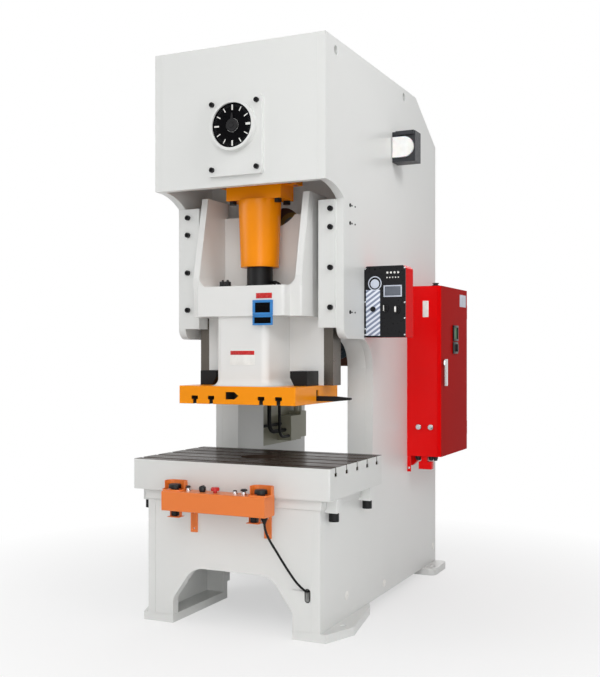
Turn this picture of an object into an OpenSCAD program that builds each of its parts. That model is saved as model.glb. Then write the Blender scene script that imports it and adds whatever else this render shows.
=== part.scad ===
// Mechanical stamping press: open-front gap frame with crank-driven slide.
// X runs across the press, Y from front to back, Z up from the floor, in millimetres.

/* [Frame] */
// Width over the side plates
frame_w = 928; // [880:1:980]
// Depth of the side plates, front of the base to the back
frame_d = 1754; // [1734:1:1800]
// Thickness of the side plates
plate_t = 40; // [30:1:46]
// Thickness of the foot plates
foot_t = 40; // [25:1:50]
// Floor to the underside of the bed plate
base_h = 600; // [570:1:640]
// Thickness of the bed plate
bed_t = 50; // [40:1:60]
// Bolster top to the underside of the upper arm
throat_h = 590; // [560:1:610]
// Front of the base to the back of the throat
throat_y = 666; // [655:1:690]
// Radius of the throat's upper corner
throat_r = 150; // [100:1:165]
// Underside of the upper arm to the underside of the head
arm_h = 733; // [715:1:760]
// Front of the base to the front edge of the upper arm
arm_y = 280; // [274:1:288]
// Height of the head
head_h = 680; // [660:1:720]
// Front of the base to the front of the head
head_y = 59; // [50:1:70]
// Thickness of the head's front plate and of the walls
wall_t = 40; // [30:1:45]
// Front of the base to the start of the sloping hood
hood_y = 1368; // [1320:1:1420]
// Drop of the hood towards the back
hood_drop = 218; // [150:1:260]
// Width of the box columns, side plate included
column_w = 140; // [125:1:142]
// Depth of the box columns
column_d = 303; // [260:1:330]
// Width of the arch in the base
arch_w = 644; // [600:1:660]
// Height of the arch above the floor
arch_h = 278; // [240:1:320]
// Distance between the anchor holes across the press
anchor_x = 1010; // [1000:1:1030]
// Distance between the anchor holes along the press
anchor_y = 1400; // [1380:1:1420]
// Radius of the anchor holes
anchor_r = 16; // [12:1:18]

/* [Bolster] */
// Width of the bolster
bolster_w = 1054; // [1020:1:1080]
// Depth of the bolster
bolster_d = 672; // [640:1:700]
// Thickness of the bolster
bolster_t = 147; // [130:1:160]
// Pitch of the bolster's T-slots
slot_pitch = 132; // [120:1:140]
// Width of a T-slot's neck
slot_w = 22; // [18:1:24]
// Width of a T-slot's head
slot_head_w = 37; // [32:1:40]
// Depth of a T-slot's neck
slot_neck = 25; // [20:1:28]
// Height of a T-slot's head
slot_head = 18; // [14:1:22]
// Radius of the bolster's central hole
hole_r = 95; // [80:1:110]

/* [Slide] */
// Front of the base to the ram's axis
ram_y = 300; // [296:1:306]
// Bolster top to the slide plate at the bottom of the stroke
die_space = 273; // [255:1:300]
// Stroke of the slide
stroke = 160; // [120:1:166]
// Width of the slide plate
shoe_w = 632; // [600:1:644]
// Depth of the slide plate
shoe_d = 506; // [480:1:520]
// Thickness of the slide plate
shoe_t = 87; // [75:1:95]
// Distance of the inner T-slots in the slide plate from the ram's axis
shoe_slot_in = 136; // [130:1:145]
// Distance of the outer T-slots in the slide plate from the ram's axis
shoe_slot_out = 228; // [215:1:240]
// Radius of the tool shank's hole
shank_r = 25; // [20:1:30]
// Width of the slide's lower body
body_w = 280; // [260:1:300]
// Height of the slide's lower body
body_h = 338; // [320:1:350]
// Width of the slide's upper box
box_w = 480; // [450:1:500]
// Height of the slide's upper box
box_h = 145; // [130:1:160]
// Height of the ears above the upper box
ear_h = 460; // [420:1:480]
// Thickness of an ear
ear_t = 34; // [28:1:40]
// Step from a rail in to an ear
ear_inset = 26; // [18:1:34]
// Width of the slide over the ears
ear_span = 652; // [640:1:656]
// Width of a slide rail
rail_w = 50; // [40:1:56]
// Depth of a slide rail
rail_d = 97; // [80:1:105]
// Running gap of the slide's guides
guide_gap = 0.3; // [0.2:0.1:0.5]

/* [Drive] */
// Underside of the head to the crankshaft's axis
crank_up = 280; // [276:1:295]
// Radius of the crankshaft's journals and pin
journal_r = 75; // [65:1:80]
// Radial running clearance of the bearings
bearing_gap = 0.05; // [0.02:0.01:0.09]
// Length of adjusting screw in view
screw_view = 105; // [95:1:115]
// Radius of the adjusting screw
screw_r = 65; // [55:1:68]
// Radius of the connecting rod at its lower end
rod_r = 96; // [88:1:100]
// Length of the connecting rod's round body
rod_h = 333; // [320:1:340]
// Width of the connecting rod's flange
flange_w = 304; // [290:1:320]
// Depth of the connecting rod's flange
flange_d = 146; // [140:1:152]
// Module of the gears
gear_m = 10; // [9:0.5:10.5]
// Teeth of the main gear
gear_z = 64; // [60:2:66]
// Teeth of the pinion
pinion_z = 16; // [16:1:18]
// Radius of the flywheel
flywheel_r = 330; // [300:1:345]
// Width of the flywheel
flywheel_t = 120; // [105:1:130]
// Radius of the motor's pulley
pulley_r = 78; // [70:1:90]
// Distance between the flywheel's and the motor's axes
belt_span = 570; // [550:1:590]

/* [Electrics] */
// Depth of the cabinet across the press
cab_d = 200; // [180:1:220]
// Width of the cabinet along the press
cab_w = 536; // [500:1:540]
// Height of the cabinet
cab_h = 958; // [900:1:1000]
// Floor to the cabinet's underside
cab_z = 735; // [700:1:760]
// Width of the control box
ctl_w = 219; // [200:1:230]
// Height of the control box
ctl_h = 358; // [340:1:370]
// Depth of the control box
ctl_d = 118; // [100:1:130]
// Floor to the control box's underside
ctl_z = 1395; // [1390:1:1410]
// Width of the two-hand console
con_w = 543; // [520:1:560]
// Height of the two-hand console
con_h = 92; // [85:1:98]
// Depth of the two-hand console
con_d = 100; // [95:1:110]
// Height of the console's top above the base
con_top = 71; // [60:1:80]
// Gap between the console and the base
con_gap = 80; // [60:1:85]
// Radius of a palm button
palm_r = 30; // [26:1:33]
// Travel of a push button
button_travel = 6; // [4:1:8]

/* [Hidden] */
$fn = 64;
half_w = frame_w / 2;
inner_x = half_w - plate_t;
bolster_top = base_h + bed_t + bolster_t;
arm_z = bolster_top + throat_h;
head_z = arm_z + arm_h;
frame_h = head_z + head_h;
hood_z = frame_h - hood_drop;
back_y = frame_d / 2;
crank_z = head_z + crank_up;
pin_z = crank_z - stroke / 2;
shoe_z = bolster_top + die_space;
body_z = shoe_z + shoe_t;
box_z = body_z + body_h;
box_top = box_z + box_h;
rod_z = box_top + screw_view;
flange_z = rod_z + rod_h;
flange_t = 72;
strap_z = flange_z + flange_t;
strap_w = 410;
slot_x = stroke / 2 + journal_r + 3;
slot_z = journal_r + stroke * 0.106 + 2;
strap_d = 136;
web_t = 50;
web_gap = max(4, (flange_d - strap_d) / 2 + 1);
web_in = strap_d / 2 + web_gap;
web_out = web_in + web_t;
bush_r = journal_r + 30;
rail_y = ram_y + 55;
rail_x = ear_span / 2;
gib_y = arm_y - 12;
gib_z = arm_z + 53;
gib_top = head_z - 62;
bearing_y = throat_y;
gear_y = bearing_y + wall_t + 14;
gear_t = 80;
shaft_r = 45;
shaft_z = crank_z - gear_m * (gear_z + pinion_z) / 2;
rear_y = frame_d - 524;
wheel_y = rear_y + wall_t + 40;
motor_z = shaft_z - belt_span;
belt_w = 14;
belt_t = 11;
belt_pitch = 24;
belt_n = 4;
belt_clear = 0.5;
motor_r = 130;
motor_len = 300;
cab_y = frame_d - cab_w - 4;
cab_t = 4;
door_t = 22;
door_gap = 0.3;
hinge_r = 6;
hinge_pin_r = 3;
hinge_h = 80;
ctl_y = 547;
con_y = -con_gap - con_d;
con_mid = con_y + con_d / 2;
con_z = base_h + con_top;
dial_r = 121;
cover_w = 294;
cover_h = 378;
cover_z = head_z + 46;
cable_r = 5.5;
manifold_z = motor_z - 250;
air_y = rear_y - 220;
air_l = 590;
air_z = bolster_top - 37;
air_t = 10;
valve_y = air_y + 330;
cable_x = con_w / 2 - 26.5;
cable_drop = [[0, 0, 5], [0, 0, 31], [7, 1, 67], [24, 9, 109], [46, 24, 154], [70, 42, 204], [99, 62, 260],
    [121, 78, 299], [135, 92, 321], [145, 106, 337], [151, 120, 347], [154, 134, 352], [155, 152, 353]];
cable_route = [for (p = cable_drop) [cable_x + p.x, con_mid + p.y, con_z - con_h - p.z]];
cable_in = cable_route[len(cable_route) - 1];

// Shifts the front-of-base coordinates to the centre of the footprint
module place() {
    translate([0, -back_y, 0]) children();
}

// Draws the children on both sides of the press
module both() {
    children();
    mirror([1, 0, 0]) children();
}

// Box from its lower to its upper corner
module block(low, high) {
    translate(low) cube(high - low);
}

// Rounded rectangle from its lower to its upper corner
module soft_square(low, high, r) {
    size = high - low;
    translate(low) {
        translate([r, 0]) square([size.x - 2 * r, size.y]);
        translate([0, r]) square([size.x, size.y - 2 * r]);
        for (x = [r, size.x - r])
            for (y = [r, size.y - r])
                translate([x, y]) circle(r);
    }
}

// Extrudes a (Y, Z) outline along X
module along_x(x, t) {
    translate([x, 0, 0]) rotate([90, 0, 90]) linear_extrude(t) children();
}

// Extrudes an (X, Z) outline along Y
module along_y(y, t) {
    translate([0, y + t, 0]) rotate([90, 0, 0]) linear_extrude(t) children();
}

// Round bar along X, Y or Z from its start point
module bar_x(p, r, h) {
    translate(p) rotate([0, 90, 0]) cylinder(r = r, h = h);
}

module bar_y(p, r, h) {
    translate(p) rotate([-90, 0, 0]) cylinder(r = r, h = h);
}

module bar_z(p, r, h) {
    translate(p) cylinder(r = r, h = h);
}

// Socket screw standing out along -Y
module screw_y(p, r) {
    translate(p) rotate([90, 0, 0]) socket_head(r);
}

// Socket screw head on the XY plane
module socket_head(r) {
    difference() {
        cylinder(r = r, h = r * 1.1);
        translate([0, 0, r * 0.5]) cylinder(r = r * 0.55, h = r, $fn = 6);
    }
}

// Tube with a round section along a route
module tube(route, r, sides = 10) {
    n = len(route);
    ring = [for (i = [0:n - 1])
        let (a = route[max(i - 1, 0)], b = route[min(i + 1, n - 1)])
        let (d = (b - a) / norm(b - a))
        let (u = cross(d, [0.94, 0.34, 0]) / norm(cross(d, [0.94, 0.34, 0])))
        let (w = cross(d, u))
        for (k = [0:sides - 1])
            route[i] + r * (cos(k * 360 / sides) * u + sin(k * 360 / sides) * w)];
    walls = [for (i = [0:n - 2])
        for (k = [0:sides - 1])
            let (m = (k + 1) % sides)
            [i * sides + k, (i + 1) * sides + k, (i + 1) * sides + m, i * sides + m]];
    first = [for (k = [0:sides - 1]) k];
    last = [for (k = [0:sides - 1]) n * sides - 1 - k];
    polyhedron(ring, concat(walls, [first], [last]), convexity = 6);
}

// Outline of a side plate in (Y, Z)
module side_outline() {
    fillet_r = 345;
    fillet_y = head_y + 28;
    corner_r = 55;
    difference() {
        polygon([[0, foot_t], [0, base_h], [throat_y, base_h], [throat_y, arm_z], [arm_y, arm_z],
            [arm_y, head_z], [head_y, head_z], [head_y, frame_h], [hood_y, frame_h],
            [frame_d, hood_z], [frame_d, foot_t]]);
        difference() {
            translate([arm_y, arm_z]) square(corner_r);
            translate([arm_y + corner_r, arm_z + corner_r]) circle(corner_r);
        }
        for (p = [[head_y + 123, frame_h - 57], [head_y + 1102, frame_h - 46]])
            translate(p) circle(22);
        for (p = [[312, 146], [836, 94], [frame_d - 49, 134]])
            translate(p) circle(18);
    }
    difference() {
        translate([throat_y - throat_r, arm_z - throat_r]) square(throat_r);
        translate([throat_y - throat_r, arm_z - throat_r]) circle(throat_r);
    }
    difference() {
        translate([fillet_y, head_z - 120]) square([arm_y - fillet_y, 120]);
        translate([fillet_y, head_z - fillet_r]) circle(fillet_r, $fn = 180);
    }
}

scrap_y = throat_y + 84;
scrap_back = 184;
scrap_h = arch_h + 72;
// Scrap opening low in the left side plate, in (Y, Z)
module scrap_outline() {
    back = frame_d - scrap_back;
    low = scrap_h - 50;
    polygon([[scrap_y, 0], [scrap_y, low], [scrap_y + 50, scrap_h], [back - 50, scrap_h], [back, low],
        [back, 0]]);
}

module side_plate_left() {
    color("#e4e3de") place() along_x(-half_w, plate_t) difference() {
        side_outline();
        scrap_outline();
    }
}

module side_plate_right() {
    color("#e4e3de") place() along_x(inner_x, plate_t) side_outline();
}

module head_front_plate() {
    color("#e4e3de") place() difference() {
        block([-inner_x, head_y, head_z], [inner_x, head_y + wall_t, frame_h]);
        bar_y([0, head_y - 1, crank_z], bush_r, wall_t + 2);
    }
}

module head_top_plate() {
    color("#e4e3de") place() difference() {
        block([-inner_x, head_y + wall_t, frame_h - 30], [inner_x, hood_y, frame_h]);
        for (x = [-200, 200])
            bar_z([x, head_y + 320, frame_h - 31], 20, 32);
    }
}

module rear_cover() {
    low = motor_z - 170;
    sheet = 8;
    color("#d9d8d2") place() difference() {
        along_x(-inner_x, 2 * inner_x)
            polygon([[hood_y, frame_h], [frame_d, hood_z], [frame_d, low], [frame_d - sheet, low],
                [frame_d - sheet, hood_z - 5], [hood_y, frame_h - 10]]);
        for (x = [-200, 200])
            for (i = [0:9])
                block([x - 110, frame_d - sheet - 1, shaft_z - 260 + 56 * i],
                    [x + 110, frame_d + 1, shaft_z - 248 + 56 * i]);
    }
}

// Cross walls that carry the crankshaft, the drive shaft and the motor
module drive_walls() {
    color("#6b3526") place() difference() {
        block([-inner_x, bearing_y, arm_z + 180], [inner_x, bearing_y + wall_t, frame_h - 30]);
        bar_y([0, bearing_y - 1, crank_z], bush_r, wall_t + 2);
        bar_y([0, bearing_y - 1, shaft_z], shaft_r + 25, wall_t + 2);
    }
    color("#6b3526") place() difference() {
        block([-inner_x, rear_y, motor_z - 190], [inner_x, rear_y + wall_t, frame_h - 30]);
        bar_y([0, rear_y - 1, shaft_z], shaft_r + 25, wall_t + 2);
        bar_y([0, rear_y - 1, motor_z], motor_r - 30, wall_t + 2);
    }
}

module head_apron() {
    apron_y = rail_y + rail_d + 96;
    color("#e4e3de") place() along_y(apron_y, 24) difference() {
        translate([-inner_x, head_z - 120]) square([2 * inner_x, 320]);
        translate([0, head_z - 155]) circle(115, $fn = 128);
    }
}

// Box column beside the throat, on the right
module column() {
    in_x = half_w - column_w;
    rim = 40;
    foot_z = base_h + bed_t;
    place() {
        along_x(in_x, inner_x - in_x) {
            translate([throat_y, foot_z]) square([rim, arm_z - throat_r - foot_z]);
            intersection() {
                translate([throat_y - throat_r, arm_z - throat_r]) difference() {
                    circle(throat_r + rim);
                    circle(throat_r);
                }
                translate([throat_y - throat_r, arm_z - throat_r]) square(throat_r + rim);
            }
        }
        block([in_x, throat_y + rim, foot_z], [in_x + 20, throat_y + column_d, arm_z + 180]);
        block([in_x + 20, throat_y + column_d - rim, foot_z], [inner_x, throat_y + column_d, arm_z + 180]);
    }
}

module columns() {
    color("#e4e3de") both() column();
}

// Slope of the arch's shoulders, how far in and down they reach, and the radii of their two bends
arch_slope = 54.9;
arch_in = 111;
arch_bends = [113, 60];

// Outline of the base plates with their arch, in (X, Z)
module arch_outline() {
    a = arch_w / 2;
    low = arch_h - arch_in * tan(arch_slope);
    d = [cos(arch_slope), sin(arch_slope)];
    top_run = arch_bends[0] * tan(arch_slope / 2);
    low_run = arch_bends[1] * tan(45 - arch_slope / 2);
    difference() {
        translate([-inner_x, foot_t]) square([2 * inner_x, base_h - foot_t]);
        both() {
            polygon([[0, 0], [a, 0], [a, low - low_run], [a - low_run * d.x, low + low_run * d.y],
                [a - arch_in + top_run * d.x, arch_h - top_run * d.y], [a - arch_in - top_run, arch_h],
                [0, arch_h]]);
            translate([a - arch_in - top_run, arch_h - arch_bends[0]]) circle(arch_bends[0]);
            translate([a - arch_bends[1], low - low_run]) circle(arch_bends[1]);
        }
    }
}

module base_front_plate() {
    color("#e4e3de") place() difference() {
        along_y(0, 50) arch_outline();
        for (z = [cable_in.z - 36, cable_in.z])
            bar_y([cable_in.x, -1, z], 12, 52);
        block([cable_in.x - 12, -1, cable_in.z - 36], [cable_in.x + 12, 51, cable_in.z]);
    }
}

rib_y = throat_y - 166;
// Rear plate of the base and the ribs behind the legs
module base_plates() {
    color("#e4e3de") place() {
        along_y(frame_d - 40, 40) arch_outline();
        both() block([arch_w / 2, rib_y, foot_t], [inner_x, rib_y + plate_t, base_h]);
    }
}

// Foot plates of the right side, in (X, Y)
module foot_outlines() {
    in_x = arch_w / 2;
    hole = anchor_x / 2;
    difference() {
        union() {
            polygon([[in_x, 0], [half_w + 26, 0], [half_w + 94, 180], [half_w + 29, 553], [half_w, 620],
                [inner_x, 620], [inner_x, rib_y + plate_t], [in_x, rib_y + plate_t]]);
            soft_square([in_x, frame_d - 254], [half_w + 74, frame_d], 40);
        }
        for (y = [-anchor_y / 2, anchor_y / 2])
            translate([hole, back_y + y]) circle(anchor_r);
    }
}

module foot_plates() {
    color("#d9d8d2") place() both() linear_extrude(foot_t) foot_outlines();
}

module bed_plate() {
    color("#e4e3de") place() difference() {
        block([-half_w - 9, -10, base_h], [half_w + 9, throat_y - 26, base_h + bed_t]);
        bar_z([0, ram_y, base_h - 1], hole_r + 10, bed_t + 2);
    }
}

// T-slot outline, mouth upwards at the origin
module slot_outline(neck) {
    translate([-slot_w / 2, -neck]) square([slot_w, neck + 1]);
    translate([-slot_head_w / 2, -neck - slot_head]) square([slot_head_w, slot_head]);
}

module bolster() {
    color("#8d8377") place() difference() {
        translate([0, 0, base_h + bed_t]) linear_extrude(bolster_t)
            soft_square([-bolster_w / 2, ram_y - bolster_d / 2], [bolster_w / 2, ram_y + bolster_d / 2], 8);
        along_x(-bolster_w / 2 - 1, bolster_w + 2)
            for (i = [-2:2])
                translate([ram_y + i * slot_pitch, bolster_top]) slot_outline(slot_neck);
        bar_z([0, ram_y, base_h + bed_t - 1], hole_r, bolster_t + 2);
    }
}

// Places for the clamp lugs on the right side, along Y
lug_places = [73, 495];
lug_x = half_w + 36;
lug_bolt_r = 12;

module bolster_lugs() {
    color("#dddcd6") place() both() for (y = lug_places) difference() {
        union() {
            block([half_w, y - 24, base_h - 16], [half_w + 62, y + 24, base_h]);
            block([half_w + 9, y - 24, base_h - 1], [half_w + 62, y + 24, base_h + bed_t]);
        }
        bar_z([lug_x, y, base_h - 17], lug_bolt_r + 1, bed_t + 18);
    }
}

// Gib in front of the right slide rail
module gib() {
    place() difference() {
        block([rail_x + 9, gib_y, gib_z], [inner_x, rail_y - guide_gap, gib_top]);
        for (z = gib_heights)
            bar_y([inner_x - 24, gib_y - 1, z], gib_bolt_r + 1, 40);
    }
}

gib_bolt_r = 9;
gib_heights = [gib_z + 97, gib_z + 289, gib_z + 484, gib_z + 573];

module gibs() {
    color("#dcdbd5") both() gib();
}

// Guide bed beside and behind the right slide rail
module guide() {
    place() {
        block([rail_x + rail_w + guide_gap, rail_y - guide_gap, gib_z],
            [inner_x, rail_y + rail_d + guide_gap, gib_top]);
        block([rail_x, rail_y + rail_d + guide_gap, gib_z], [inner_x, rail_y + rail_d + 40, gib_top]);
    }
}

module guide_beds() {
    color("#b9b6ae") both() guide();
}

// Black screws of the lugs, gibs, guides and bearing cover
module frame_screws() {
    color("#1c1c1e") place() both() {
        for (y = lug_places) {
            bar_z([lug_x, y, base_h - 56], 24, 40);
            bar_z([lug_x, y, base_h - 17], lug_bolt_r, bed_t + 17);
        }
        for (z = gib_heights) {
            screw_y([inner_x - 24, gib_y, z], 13);
            bar_y([inner_x - 24, gib_y - 1, z], gib_bolt_r, 38);
        }
        for (z = [gib_z + 76, gib_z + 510, gib_z + 597]) {
            bar_x([half_w, arm_y + 77, z], 9, 3);
            for (y = [100, 141])
                bar_x([half_w, arm_y + y, z], 4, 3);
        }
        for (z = [32, cover_h - 32])
            screw_y([cover_w / 2 - 26, head_y - 24, cover_z + z], 12);
    }
}

module bearing_cover() {
    color("#e4e3de") place() difference() {
        along_y(head_y - 24, 24)
            soft_square([-cover_w / 2, cover_z], [cover_w / 2, cover_z + cover_h], 16);
        bar_y([0, head_y - 25, crank_z], 32, 26);
    }
}

module angle_dial() {
    color("#ecebe6") place() difference() {
        bar_y([0, head_y - 56, crank_z], dial_r, 32);
        bar_y([0, head_y - 57, crank_z], dial_r - 14, 12);
        bar_y([0, head_y - 57, crank_z], 32, 34);
    }
}

// Bush about an axis along Y
module bush(y, z, r, outer) {
    difference() {
        bar_y([0, y, z], outer - bearing_gap, wall_t);
        bar_y([0, y - 1, z], r + bearing_gap, wall_t + 2);
    }
}

module bearings() {
    color("#a9793a") place() {
        for (y = [head_y, bearing_y])
            bush(y, crank_z, journal_r, bush_r);
        for (y = [bearing_y, rear_y])
            bush(y, shaft_z, shaft_r, shaft_r + 25);
    }
}

// Motor hung on the rear wall, its shaft driving the belts
module motor() {
    fins = 24;
    color("#4f6672") place() difference() {
        union() {
            bar_y([0, rear_y - motor_len, motor_z], motor_r, motor_len);
            for (i = [0:fins - 1])
                translate([0, 0, motor_z]) rotate([0, i * 360 / fins, 0])
                    block([motor_r - 5, rear_y - motor_len + 30, -2], [motor_r + 14, rear_y - 40, 2]);
            bar_y([0, rear_y - motor_len - 60, motor_z], motor_r + 8, 60);
            bar_y([0, rear_y - 20, motor_z], motor_r + 30, 20);
            block([-60, rear_y - 200, motor_z + motor_r - 10], [60, rear_y - 90, motor_z + motor_r + 60]);
        }
        bar_y([0, rear_y - 40, motor_z], 24 + bearing_gap, 41);
    }
}

// Closed belt outline round two pulleys, in (X, Z)
module belt_outline(big, small) {
    nz = -(big - small) / belt_span;
    nx = sqrt(1 - nz * nz);
    translate([0, shaft_z]) circle(big, $fn = 128);
    translate([0, motor_z]) circle(small);
    polygon([[big * nx, shaft_z + big * nz], [small * nx, motor_z + small * nz],
        [-small * nx, motor_z + small * nz], [-big * nx, shaft_z + big * nz]]);
}

function belt_y(i) = wheel_y + flywheel_t / 2 + (i - (belt_n - 1) / 2) * belt_pitch;

module drive_belts() {
    big = flywheel_r - belt_t;
    small = pulley_r - belt_t;
    color("#26262a") place() for (i = [0:belt_n - 1])
        along_y(belt_y(i) - belt_w / 2, belt_w) difference() {
            belt_outline(big + belt_t - 1, small + belt_t - 1);
            belt_outline(big, small);
        }
}

// Grooved rim of a belt wheel about an axis at height z
module grooved(r, z) {
    difference() {
        bar_y([0, wheel_y, z], r, flywheel_t);
        for (i = [0:belt_n - 1])
            difference() {
                bar_y([0, belt_y(i) - belt_w / 2 - belt_clear, z], r + 1, belt_w + 2 * belt_clear);
                bar_y([0, belt_y(i) - belt_w, z], r - belt_t - belt_clear, 2 * belt_w);
            }
    }
}

lamp_z = head_z + 232;
lamp_y = 966;
lamp_w = 130;
lamp_h = 164;
lamp_d = 96;
lens_r = 56;
// Front outline of the lamp's lens in (X, Z), drawn in by a margin
module lens_outline(m) {
    r = lens_r - m;
    run = lamp_w - lens_r - 10;
    translate([half_w + run + 4, lamp_z + 79]) {
        circle(r);
        translate([m - run, -r]) square([run - m, 2 * r]);
    }
}

module side_lamp() {
    top = lamp_z + lamp_h;
    back = lamp_y + lamp_d;
    color("#3c3f42") place() {
        difference() {
            block([half_w, lamp_y, lamp_z], [half_w + lamp_w, back, top]);
            along_y(lamp_y - 1, 41) lens_outline(0);
        }
        block([half_w + 24, lamp_y - 16, top - 22], [half_w + lamp_w - 4, lamp_y + 1, top]);
        block([half_w, back, lamp_z + 20], [half_w + 8, back + 58, lamp_z + 144]);
    }
}

module lamp_lens() {
    color("#f2f1ec") place() along_y(lamp_y - 12, 52) lens_outline(1);
}

module control_box() {
    color("#c8181c") place() difference() {
        along_y(ctl_y + 6, ctl_d - 6) translate([half_w, ctl_z]) ctl_outline(0);
        along_y(ctl_y, ctl_d - 4) translate([half_w, ctl_z]) ctl_outline(4);
    }
}

// Front outline of the control box, drawn in by a margin
module ctl_outline(m) {
    c = 14;
    polygon([[m, m], [ctl_w - m, m], [ctl_w - m, ctl_h - c], [ctl_w - c, ctl_h - m], [c, ctl_h - m],
        [m, ctl_h - c]]);
}

// Places of the panel's knobs and lamp from the box's lower left corner
knob_left = [112, 144];
knob_right = [173, 137];
panel_lamp = [49, 142];
lcd_low = [108, 206];
lcd_high = [196, 256];

module control_panel() {
    color("#1b1b1d") place() difference() {
        union() {
            along_y(ctl_y, 6) translate([half_w, ctl_z]) ctl_outline(0);
            bar_y([half_w + panel_lamp.x, ctl_y - 10, ctl_z + panel_lamp.y], 13, 12);
        }
        along_y(ctl_y - 1, 3) translate([half_w, ctl_z])
            translate(lcd_low) square(lcd_high - lcd_low);
        for (p = [knob_left, knob_right])
            bar_y([half_w + p.x, ctl_y - 1, ctl_z + p.y], 6 + bearing_gap, 8);
    }
}

// Turning knob on the control panel
module panel_knob(p) {
    color("#2a2a2c") place() translate([half_w + p.x, ctl_y, ctl_z + p.y]) rotate([90, 0, 0]) {
        translate([0, 0, -10]) cylinder(r = 6, h = 11);
        translate([0, 0, 0.4]) cylinder(r = 17, h = 7);
        translate([-5, -16, 0.4]) cube([10, 32, 22]);
    }
}

module panel_knob_left() {
    panel_knob(knob_left);
}

module panel_knob_right() {
    panel_knob(knob_right);
}

// Heights of the door's hinges
hinge_heights = [cab_z + 130, cab_z + cab_h - 130];
hinge_x = half_w + cab_d - hinge_r - 1;
hinge_y = cab_y + cab_w + hinge_r + 0.5;

module cabinet() {
    color("#d01a1c") place() difference() {
        block([half_w, cab_y, cab_z], [half_w + cab_d - door_t, cab_y + cab_w, cab_z + cab_h]);
        block([half_w + cab_t, cab_y + cab_t, cab_z + cab_t],
            [half_w + cab_d, cab_y + cab_w - cab_t, cab_z + cab_h - cab_t]);
    }
    color("#d01a1c") place() for (y = [60, cab_w - 100])
        along_y(cab_y + y, 40) translate([half_w, cab_z])
            polygon([[0, 0], [70, 0], [70, -8], [14, -60], [0, -60]]);
    color("#b81517") place() for (z = hinge_heights) {
        block([half_w + cab_d - door_t - 50, cab_y + cab_w, z - hinge_h / 2],
            [hinge_x, cab_y + cab_w + 3, z - 1]);
        bar_z([hinge_x, hinge_y, z - hinge_h / 2], hinge_r, hinge_h / 2 - 1);
        bar_z([hinge_x, hinge_y, z - 2], hinge_pin_r, hinge_h / 2);
    }
}

module electrical_gear() {
    x = half_w + cab_t;
    color("#b9bcbf") place() {
        block([x, cab_y + 40, cab_z + 40], [x + 6, cab_y + cab_w - 40, cab_z + cab_h - 40]);
        for (row = [0:2])
            for (i = [0:4])
                block([x + 6, cab_y + 70 + 80 * i, cab_z + 160 + 240 * row],
                    [x + 86 - 12 * row, cab_y + 135 + 80 * i, cab_z + 280 + 240 * row]);
    }
}

module cable_glands() {
    color("#1c1c1e") place() for (y = [30, 110])
        translate([half_w + 90, cab_y + y, cab_z]) {
            translate([0, 0, -14]) cylinder(r = 16, h = 14, $fn = 6);
            translate([0, 0, -30]) cylinder(r = 11, h = 16);
        }
    color("#d9dbdd") place() for (x = [70, 140])
        bar_y([half_w + x, cab_y - 10, cab_z + 165], 15, 10);
}

// Axis of the console's buttons, along Y
palm_x = 228;
stop_x = -10;
selector_x = -78;
stem_r = palm_r - 12;
pilot_r = 9;

module console() {
    x = con_w / 2;
    z = con_z - con_h;
    color("#df7a3a") place() difference() {
        along_x(-x, con_w) soft_square([con_y, z], [con_y + con_d, con_z], 5);
        along_x(-x + 3, con_w - 6) soft_square([con_y + 3, z + 3], [con_y + con_d - 3, con_z - 3], 4);
        for (s = [-palm_x, palm_x])
            bar_z([s, con_mid, con_z - 4], stem_r + bearing_gap, 5);
        for (s = [stop_x, selector_x])
            bar_z([s, con_mid, con_z - 4], pilot_r + bearing_gap, 5);
        bar_z([cable_x, con_mid, z - 1], 8, 5);
    }
}

// Pilot lamps on the console and the cable's gland under it
module console_lamps() {
    color("#c9cbcc") place() for (x = [-155, 95, 141]) {
        bar_z([x, con_mid, con_z], 13, 6);
        bar_z([x, con_mid, con_z + 5], 10, 9);
    }
    color("#1c1c1e") place() difference() {
        bar_z([cable_x, con_mid, con_z - con_h - 14], 13, 14);
        bar_z([cable_x, con_mid, con_z - con_h - 15], cable_r + 0.4, 16);
    }
}

// Mushroom button on the console, with the stem that goes through its top
module mushroom(x, r, stem, lift, tall) {
    place() translate([x, con_mid, con_z]) {
        translate([0, 0, -button_travel - 20]) cylinder(r = stem, h = lift + button_travel + 21);
        translate([0, 0, lift]) rotate_extrude() {
            square([r, tall * 0.6]);
            square([r - tall * 0.4, tall]);
            intersection() {
                translate([r - tall * 0.4, tall * 0.6]) circle(tall * 0.4);
                square([r, tall]);
            }
        }
    }
}

module palm_button_left() {
    color("#1d1d1f") mushroom(-palm_x, palm_r, stem_r, button_travel + 4, 20);
}

module palm_button_right() {
    color("#1d1d1f") mushroom(palm_x, palm_r, stem_r, button_travel + 4, 20);
}

module emergency_stop() {
    color("#c9141a") mushroom(stop_x, 20, pilot_r, button_travel + 4, 16);
}

module console_selector() {
    color("#1d1d1f") place() translate([selector_x, con_mid, con_z]) {
        translate([0, 0, -20]) cylinder(r = pilot_r, h = 21);
        translate([0, 0, 0.4]) cylinder(r = 14, h = 6);
        translate([-4, -13, 0.4]) cube([8, 26, 18]);
    }
}

module console_brackets() {
    z = con_z - con_h;
    color("#d8743a") place() for (x = [-199, 199]) {
        difference() {
            block([x - 19, -6, base_h - 146], [x + 19, 0, z]);
            for (up = [base_h - 128, z - 30])
                bar_y([x, -7, up], 5, 8);
        }
        block([x - 19, con_y + con_d - 60, z - 6], [x + 19, -6, z]);
    }
}

module button_guards() {
    color("#df7a3a") place() both() difference() {
        translate([palm_x, con_mid, con_z]) linear_extrude(44)
            soft_square([-55, -46], [55, 46], 30);
        translate([palm_x, con_mid, con_z - 1]) linear_extrude(60)
            soft_square([-51, -42], [51, 42], 27);
        block([150, con_y - 1, con_z + 8], [306, con_mid - 4, con_z + 60]);
    }
}

module console_cable() {
    color("#1a1a1c") place() tube(cable_route, cable_r);
}

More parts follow.
